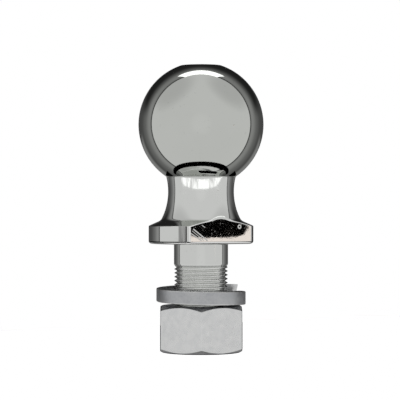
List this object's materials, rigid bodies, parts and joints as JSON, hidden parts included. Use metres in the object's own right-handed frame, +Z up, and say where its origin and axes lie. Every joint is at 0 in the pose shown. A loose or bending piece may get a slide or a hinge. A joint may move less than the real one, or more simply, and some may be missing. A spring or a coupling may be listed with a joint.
{
  "type": "threaded tow ball",
  "caption": "Chromed tow ball on a waisted neck with a flanged base, two wrench flats and a threaded shank, with its lock washer and hex nut.",
  "frame": {"origin": "middle of the flange's underside, the face that sits on the ball mount", "axes": "+Z up along the shank's axis through the ball; the two wrench flats face -Y and +Y"},
  "size_m": [0.0587, 0.0588, 0.1345],
  "materials": {
    "chrome": "polished",
    "zinc_washer": "zinc plated",
    "zinc_nut": "zinc plated"
  },
  "bodies": {
    "ball": {"tow_ball": "chrome"},
    "washer": {"lock_washer": "zinc_washer"},
    "nut": {"hex_nut": "zinc_nut"}
  },
  "joints": [
    {"name": "washer_travel", "type": "slide", "parent": "ball", "child": "washer", "axis": [0, 0, 1], "range_m": [-0.0319, 0.0184]},
    {"name": "nut_turn", "type": "hinge", "parent": "washer", "child": "nut", "pos_m": [0, 0, -0.04], "axis": [0, 0, 1], "range_deg": [-6309.9, 3631.2]}
  ],
  "couplings": [
    {"joint": "washer_travel", "follows": "nut_turn", "m_per_rad": 0.00028875}
  ]
}
